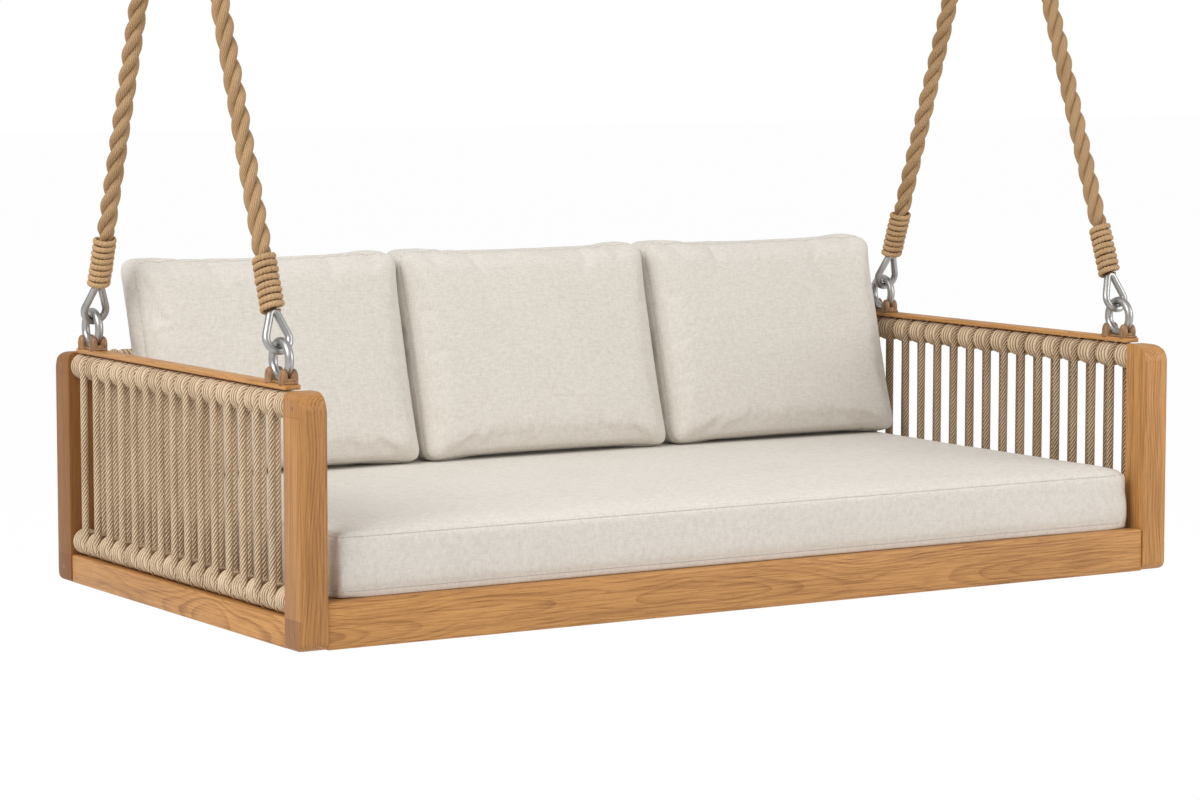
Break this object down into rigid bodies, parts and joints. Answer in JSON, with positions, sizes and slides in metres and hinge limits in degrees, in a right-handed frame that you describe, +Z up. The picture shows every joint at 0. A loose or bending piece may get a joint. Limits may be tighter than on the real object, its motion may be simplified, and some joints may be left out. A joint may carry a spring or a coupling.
{
  "type": "hanging swing bed",
  "caption": "Daybed swing with a wooden frame, rope-laced arms and back, a long seat cushion and loose back cushions, hung on laid ropes from ceiling plates.",
  "frame": {"origin": "on the ceiling, midway between the two ceiling plates, over the middle of the bed", "axes": "+Z up, +X along the bed towards the right arm as seen from the front, +Y towards the back of the bed"},
  "size_m": [2.056, 1.1001, 1.7628],
  "materials": {
    "frame_wood": "oiled",
    "cap_wood": "oiled",
    "base_wood": "sanded",
    "dark_wood": "oiled",
    "laid_rope": "laid fibre",
    "whipping_cord": "wound cord",
    "lacing_rope": "twisted cord",
    "wrap_cord": "wound cord",
    "ring_steel": "satin",
    "hanger_steel": "satin",
    "bolt_steel": "satin",
    "linen": "woven"
  },
  "bodies": {
    "ceiling": {"left_ceiling_plate": "hanger_steel", "right_ceiling_plate": "hanger_steel"},
    "left_link": {"left_link": "hanger_steel"},
    "right_link": {"right_link": "hanger_steel"},
    "left_ropes": {"front_left_rope": "laid_rope", "front_left_whipping": "whipping_cord", "front_left_loop": "ring_steel", "front_left_eye_socket": "hanger_steel", "back_left_rope": "laid_rope", "back_left_whipping": "whipping_cord", "back_left_loop": "ring_steel", "back_left_eye_socket": "hanger_steel"},
    "right_ropes": {"front_right_rope": "laid_rope", "front_right_whipping": "whipping_cord", "front_right_loop": "ring_steel", "front_right_eye_socket": "hanger_steel", "back_right_rope": "laid_rope", "back_right_whipping": "whipping_cord", "back_right_loop": "ring_steel", "back_right_eye_socket": "hanger_steel"},
    "bed": {"front_left_ring": "ring_steel", "back_left_ring": "ring_steel", "front_right_ring": "ring_steel", "back_right_ring": "ring_steel", "front_left_saddle": "dark_wood", "back_left_saddle": "dark_wood", "front_right_saddle": "dark_wood", "back_right_saddle": "dark_wood", "saddle_bolts": "bolt_steel", "front_left_post": "frame_wood", "back_left_post": "frame_wood", "front_right_post": "frame_wood", "back_right_post": "frame_wood", "front_rail": "frame_wood", "back_rail": "frame_wood", "left_side_rail": "frame_wood", "right_side_rail": "frame_wood", "left_arm_bars": "frame_wood", "right_arm_bars": "frame_wood", "back_bars": "frame_wood", "left_arm_cap": "cap_wood", "right_arm_cap": "cap_wood", "left_arm_wraps": "wrap_cord", "right_arm_wraps": "wrap_cord", "back_wraps": "wrap_cord", "left_arm_lacing": "lacing_rope", "right_arm_lacing": "lacing_rope", "back_lacing": "lacing_rope", "frame_bolts": "bolt_steel", "bar_pegs": "dark_wood", "bolt_plugs": "dark_wood", "slats": "base_wood", "slat_ledgers": "base_wood", "centre_beam": "base_wood", "seat_cushion": "linen", "left_back_cushion": "linen", "middle_back_cushion": "linen", "right_back_cushion": "linen"}
  },
  "joints": [
    {"name": "left_swing", "type": "hinge", "parent": "ceiling", "child": "left_link", "pos_m": [-0.992, 0, -0.06], "axis": [1, 0, 0], "range_deg": [-20, 20]},
    {"name": "right_swing", "type": "hinge", "parent": "ceiling", "child": "right_link", "pos_m": [0.992, 0, -0.06], "axis": [1, 0, 0], "range_deg": [-20, 20]},
    {"name": "left_sway", "type": "hinge", "parent": "left_link", "child": "left_ropes", "pos_m": [-0.992, 0, -0.135], "axis": [0, 1, 0], "range_deg": [-8, 8]},
    {"name": "right_sway", "type": "hinge", "parent": "right_link", "child": "right_ropes", "pos_m": [0.992, 0, -0.135], "axis": [0, 1, 0], "range_deg": [-8, 8]},
    {"name": "bed_level", "type": "hinge", "parent": "left_ropes", "child": "bed", "pos_m": [-0.992, 0, -1.20358], "axis": [0, 1, 0], "range_deg": [-8, 8]}
  ],
  "couplings": [
    {"joint": "right_swing", "follows": "left_swing", "ratio": 1},
    {"joint": "right_sway", "follows": "left_sway", "ratio": 1},
    {"joint": "bed_level", "follows": "left_sway", "ratio": -1}
  ]
}
